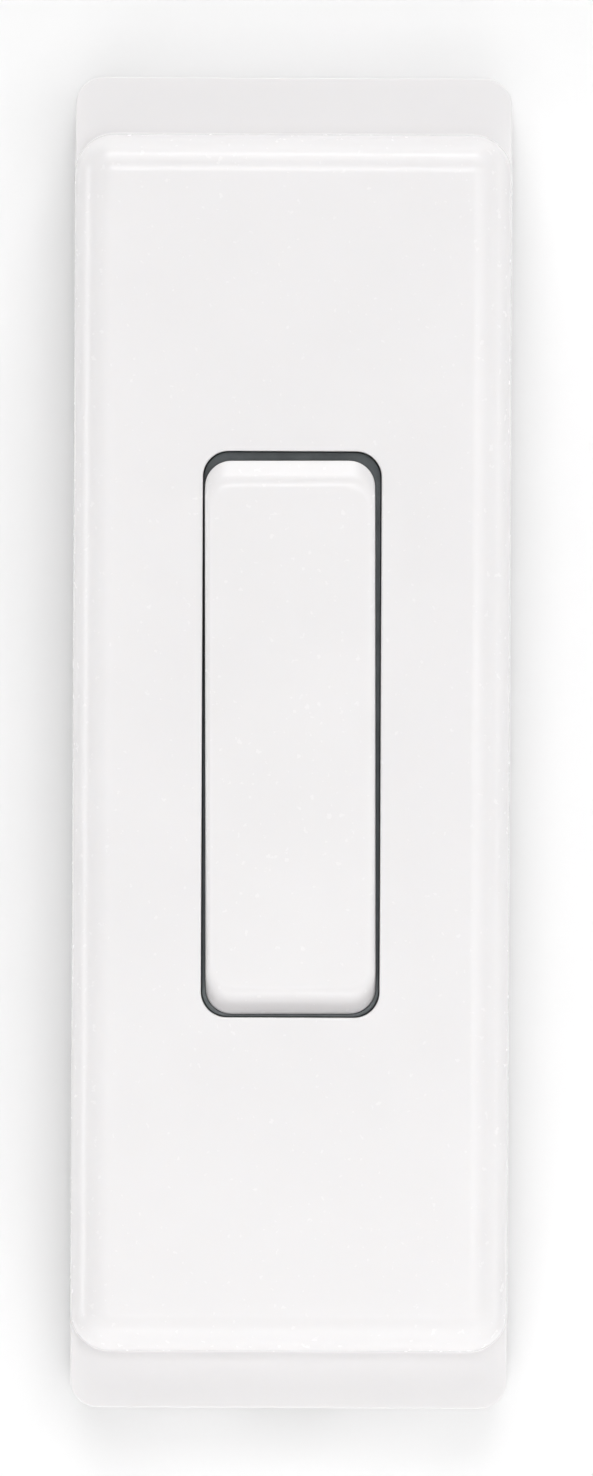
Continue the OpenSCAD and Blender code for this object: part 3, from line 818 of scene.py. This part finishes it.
def flat_sheet(name, corners, material, hole=()):
    mesh = bpy.data.meshes.new(name)
    around = [(i, (i + 1) % 4, 4 + (i + 1) % 4, 4 + i) for i in range(4)]
    mesh.from_pydata([*corners, *hole], [], around if hole else [(0, 1, 2, 3)])
    sheet = bpy.data.objects.new(name, mesh)
    bpy.context.scene.collection.objects.link(sheet)
    sheet.data.materials.append(material)


def upright(low_x, high_x, low_z, high_z):
    corners = ((low_x, low_z), (high_x, low_z), (high_x, high_z), (low_x, high_z))
    return [(x, WALL_Y, z) for x, z in corners]


def make_stage():
    """A pale wall, open behind the wall plate so that the plate's back can be seen, and a pale floor."""
    plate_x, plate_up = ([end * MM * WALL_OPENING for end in PLATE[axis]] for axis in ("x", "up"))
    paint = stage_material("studio_wall_paint", (0.92, 0.92, 0.92))
    one_sided(paint)
    wall = upright(-WALL_HALF_W, WALL_HALF_W, FLOOR_Z, WALL_TOP)
    flat_sheet("studio_wall", wall, paint.material, upright(*plate_x, *plate_up))

    corners = ((-1, -1), (1, -1), (1, 1), (-1, 1))
    floor = [(x * FLOOR_REACH, y * FLOOR_REACH, FLOOR_Z) for x, y in corners]
    flat_sheet("studio_floor", floor, stage_material("studio_floor_paint", (0.85, 0.85, 0.85)).material)


def area_light(name, direction, distance, size, power):
    """A soft panel that faces the object from a direction."""
    azimuth, elevation = (math.radians(a) for a in direction)
    out = Vector((math.sin(azimuth) * math.cos(elevation), -math.cos(azimuth) * math.cos(elevation),
                  math.sin(elevation)))
    data = bpy.data.lights.new(name, "AREA")
    data.shape = "RECTANGLE"
    data.size, data.size_y = size
    data.energy = power
    lamp = bpy.data.objects.new(name, data)
    bpy.context.scene.collection.objects.link(lamp)
    lamp.location = AIM + out * distance
    lamp.rotation_mode = "QUATERNION"
    lamp.rotation_quaternion = out.to_track_quat("Z", "Y")


def make_lights():
    world = bpy.data.worlds.new("studio_air")
    world.use_nodes = True
    air = world.node_tree.nodes["Background"]
    air.inputs["Color"].default_value = (1.0, 1.0, 1.0, 1)
    air.inputs["Strength"].default_value = AIR
    bpy.context.scene.world = world
    for lamp in LAMPS:
        area_light(*lamp)


def make_camera():
    """Long lens, straight on."""
    data = bpy.data.cameras.new("camera")
    data.sensor_width = SENSOR
    data.lens = SENSOR * (CAMERA_DISTANCE - FOCUS_OUT) / ((2 * HALF_H) * MM / FRAME_FILL)
    data.clip_start = 0.01
    camera = bpy.data.objects.new("camera", data)
    bpy.context.scene.collection.objects.link(camera)
    camera.location = (CAMERA_SHIFT[0], -CAMERA_DISTANCE, CAMERA_SHIFT[1])
    camera.rotation_euler = (math.radians(90), CAMERA_ROLL, 0)
    bpy.context.scene.camera = camera
    bpy.context.scene.view_settings.view_transform = "Standard"


make_camera()
make_cover()
make_key()
dress_nodes()
make_stage()
make_lights()
